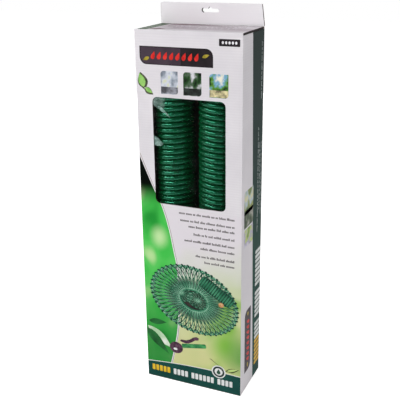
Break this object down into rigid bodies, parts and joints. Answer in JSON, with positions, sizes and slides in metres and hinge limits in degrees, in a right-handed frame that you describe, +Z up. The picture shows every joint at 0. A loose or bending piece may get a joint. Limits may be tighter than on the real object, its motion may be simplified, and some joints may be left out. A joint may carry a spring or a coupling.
{
  "type": "coiled garden hose in window carton",
  "caption": "Tall window carton with hang tab holding a coiled garden hose folded in two columns, brass ends and a spray gun.",
  "frame": {"origin": "centre of the carton footprint on the ground", "axes": "+Z up along the carton height, +X to the right across the window side, -Y out of the window side"},
  "size_m": [0.205, 0.1117, 0.7471],
  "materials": {
    "card_front": "printed, gloss varnish",
    "card_side": "printed, gloss varnish",
    "card_back": "printed, gloss varnish",
    "card_inside": "uncoated board",
    "clear_film": "clear film, slightly wrinkled",
    "hose_green": "gloss, moulded",
    "relief_black": "satin",
    "brass_turned": "turned, bright",
    "seal_black": "matt",
    "gun_green": "gloss, moulded",
    "gun_black": "satin, moulded",
    "steel_bright": "bright"
  },
  "bodies": {
    "carton": {"back_panel": "card_back", "bottom_dust_flap_left": "card_inside", "bottom_dust_flap_right": "card_inside", "bottom_inner_flap": "card_inside", "bottom_outer_flap": "card_front", "front_panel": "card_front", "glue_flap": "card_inside", "gun_body": "gun_green", "gun_dial_screw": "steel_bright", "gun_inlet_bush": "brass_turned", "gun_inlet_washer": "seal_black", "gun_lever_pin": "steel_bright", "gun_packing_nut": "brass_turned", "hose_coil_left": "hose_green", "hose_coil_right": "hose_green", "hose_crossing": "hose_green", "hose_tail_back": "hose_green", "hose_tail_pocket": "hose_green", "inlet_ferrule": "brass_turned", "inlet_strain_relief": "relief_black", "inlet_tailpiece": "brass_turned", "inlet_washer": "seal_black", "left_panel": "card_side", "outlet_ferrule": "brass_turned", "outlet_male_end": "brass_turned", "outlet_strain_relief": "relief_black", "right_panel": "card_side", "window_film": "clear_film"},
    "lid": {"top_lid": "card_front"},
    "tuck": {"tuck_flap": "card_front"},
    "dust_right": {"dust_flap_right": "card_side"},
    "dust_left": {"dust_flap_left": "card_side"},
    "hang_tab": {"hang_tab_front_ply": "card_front", "hang_tab_rear_ply": "card_back"},
    "swivel_nut": {"inlet_swivel_nut": "brass_turned"},
    "lever": {"gun_lever": "gun_black"},
    "stem": {"gun_valve_stem": "brass_turned", "gun_stem_knob": "brass_turned"},
    "dial": {"gun_dial": "gun_black"}
  },
  "joints": [
    {"name": "lid_fold", "type": "hinge", "parent": "carton", "child": "lid", "pos_m": [0, -0.05425, 0.70725], "axis": [1, 0, 0], "range_deg": [0, 195]},
    {"name": "tuck_fold", "type": "hinge", "parent": "lid", "child": "tuck", "pos_m": [0, 0.05025, 0.70725], "axis": [1, 0, 0], "range_deg": [0, 58.5]},
    {"name": "dust_right_fold", "type": "hinge", "parent": "carton", "child": "dust_right", "pos_m": [0.10175, 0, 0.70545], "axis": [0, 1, 0], "range_deg": [0, 87.75]},
    {"name": "dust_left_fold", "type": "hinge", "parent": "carton", "child": "dust_left", "pos_m": [-0.10175, 0, 0.70545], "axis": [0, -1, 0], "range_deg": [0, 87.75]},
    {"name": "tab_fold", "type": "hinge", "parent": "carton", "child": "hang_tab", "pos_m": [0, 0.0565, 0.7095], "axis": [-1, 0, 0], "range_deg": [0, 165]},
    {"name": "nut_turn", "type": "hinge", "parent": "carton", "child": "swivel_nut", "pos_m": [0.0075, 0.0375, 0.55], "axis": [0, 0, -1], "continuous": true},
    {"name": "lever_squeeze", "type": "hinge", "parent": "carton", "child": "lever", "pos_m": [-0.087, 0.032, 0.6681], "axis": [0, 0, -1], "range_deg": [0, 10], "stiffness_Nm_per_rad": 0.8, "springref_deg": -20.05},
    {"name": "stem_push", "type": "slide", "parent": "carton", "child": "stem", "axis": [0, -1, 0], "range_m": [0, 0.00227]},
    {"name": "dial_turn", "type": "hinge", "parent": "carton", "child": "dial", "pos_m": [-0.074, -0.04, 0.6681], "axis": [0, -1, 0], "continuous": true}
  ],
  "couplings": [
    {"joint": "tuck_fold", "follows": "lid_fold", "ratio": 0.3},
    {"joint": "dust_right_fold", "follows": "lid_fold", "ratio": 0.45},
    {"joint": "dust_left_fold", "follows": "lid_fold", "ratio": 0.45},
    {"joint": "stem_push", "follows": "lever_squeeze", "m_per_rad": 0.013}
  ]
}
